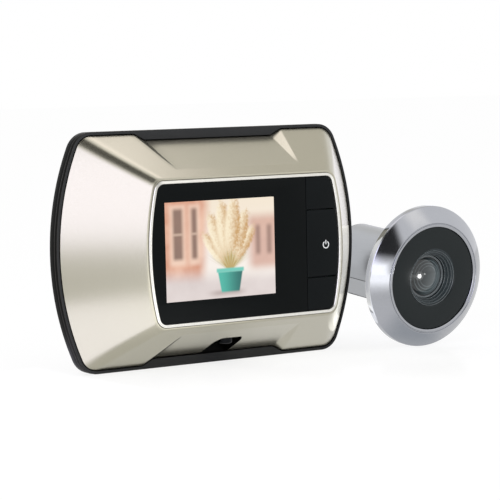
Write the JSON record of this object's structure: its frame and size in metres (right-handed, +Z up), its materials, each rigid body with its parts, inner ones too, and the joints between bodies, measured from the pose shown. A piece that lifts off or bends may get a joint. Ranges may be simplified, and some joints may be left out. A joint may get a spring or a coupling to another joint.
{
  "type": "peephole door camera",
  "caption": "Door viewer: a bowed champagne monitor with a small screen and side keys on a steel door bracket, and a separate round camera unit with a chrome flange and a barrel.",
  "frame": {"origin": "centre of the bracket's round hole, on the inner face of the door", "axes": "+X to the right seen from the room, +Y into the door along the hole, +Z up"},
  "size_m": [0.1844, 0.0783, 0.09],
  "materials": {
    "zinc_steel": "zinc plated, fine brushing",
    "champagne_lacquer": "champagne metallic lacquer, satin",
    "bright_rim": "plated plastic, bright",
    "window_black": "back-printed acrylic, gloss",
    "lit_screen": "lit display, low gloss",
    "display_glass": "laminated display glass",
    "sheet_metal": "pressed sheet, satin",
    "key_black": "black, semi-gloss",
    "silicone_grey": "moulded silicone, matt",
    "board_green": "solder mask, satin",
    "chip_black": "moulded epoxy, matt",
    "socket_ivory": "moulded nylon, matt",
    "screw_steel": "nickel plated",
    "case_black": "fine spark texture, satin",
    "door_black": "fine spark texture, satin",
    "cell_wrap": "shrink sleeve over steel can, plain",
    "contact_brass": "nickel plated brass leaf",
    "dark_screw": "blackened steel",
    "flange_chrome": "plated zinc casting, polished",
    "gasket_foam": "closed-cell foam, matt",
    "barrel_satin": "satin turned",
    "smoked_disc": "smoked, satin",
    "lens_ring_dark": "dark anodised look, satin",
    "lens_glass": "coated lens glass",
    "lens_barrel_black": "black, matt"
  },
  "bodies": {
    "bracket": {"bracket": "zinc_steel"},
    "monitor": {"front_shell": "champagne_lacquer", "window_rim": "bright_rim", "window_panel": "window_black", "screen_glass": "lit_screen", "lcd_module": "display_glass", "lcd_frame": "sheet_metal", "key_mat": "silicone_grey", "tact_switches": "sheet_metal", "main_board": "board_green", "board_chips": "chip_black", "ribbon_socket": "socket_ivory", "board_screws": "screw_steel", "front_frame": "case_black", "rear_case": "case_black", "battery_cells": "cell_wrap", "battery_contacts": "contact_brass", "case_screws": "screw_steel"},
    "upper_key": {"upper_key": "key_black"},
    "power_key": {"power_key": "key_black"},
    "lower_key": {"lower_key": "key_black"},
    "left_door": {"left_battery_door": "door_black"},
    "right_door": {"right_battery_door": "door_black"},
    "lock_screw": {"lock_screw": "dark_screw"},
    "camera": {"flange": "flange_chrome", "gasket": "gasket_foam", "barrel_tube": "barrel_satin", "lens_cover": "smoked_disc", "lens_ring": "lens_ring_dark", "front_lens": "lens_glass", "rear_lens": "lens_glass", "lens_barrel": "lens_barrel_black", "lens_mount": "lens_barrel_black", "image_sensor": "chip_black", "camera_board": "board_green"},
    "washer": {"clamp_washer": "zinc_steel"},
    "nut": {"clamp_nut": "zinc_steel"}
  },
  "joints": [
    {"name": "monitor_lift", "type": "slide", "parent": "bracket", "child": "monitor", "axis": [0, 0, 1], "range_m": [0, 0.005]},
    {"name": "upper_key_press", "type": "slide", "parent": "monitor", "child": "upper_key", "axis": [0, 1, 0], "range_m": [0, 0.0004], "stiffness_N_per_m": 800},
    {"name": "power_key_press", "type": "slide", "parent": "monitor", "child": "power_key", "axis": [0, 1, 0], "range_m": [0, 0.0004], "stiffness_N_per_m": 800},
    {"name": "lower_key_press", "type": "slide", "parent": "monitor", "child": "lower_key", "axis": [0, 1, 0], "range_m": [0, 0.0004], "stiffness_N_per_m": 800},
    {"name": "left_door_pull", "type": "slide", "parent": "monitor", "child": "left_door", "axis": [0, 1, 0], "range_m": [0, 0.015]},
    {"name": "right_door_pull", "type": "slide", "parent": "monitor", "child": "right_door", "axis": [0, 1, 0], "range_m": [0, 0.015]},
    {"name": "lock_screw_turn", "type": "hinge", "parent": "monitor", "child": "lock_screw", "pos_m": [0, -0.0172, -0.03], "axis": [0, 0, 1], "range_deg": [-1080, 0]},
    {"name": "camera_place", "type": "slide", "parent": "bracket", "child": "camera", "axis": [1, 0, 0], "range_m": [0, 0.06]},
    {"name": "washer_slide", "type": "slide", "parent": "camera", "child": "washer", "axis": [0, -0.9945, -0.1045], "range_m": [0, 0.015]},
    {"name": "nut_spin", "type": "hinge", "parent": "washer", "child": "nut", "pos_m": [0.088, 0.03484, -0.00984], "axis": [0, -0.9945, -0.1045], "range_deg": [0, 3600]}
  ],
  "couplings": [
    {"joint": "washer_slide", "follows": "nut_spin", "m_per_rad": 0.00023873}
  ]
}
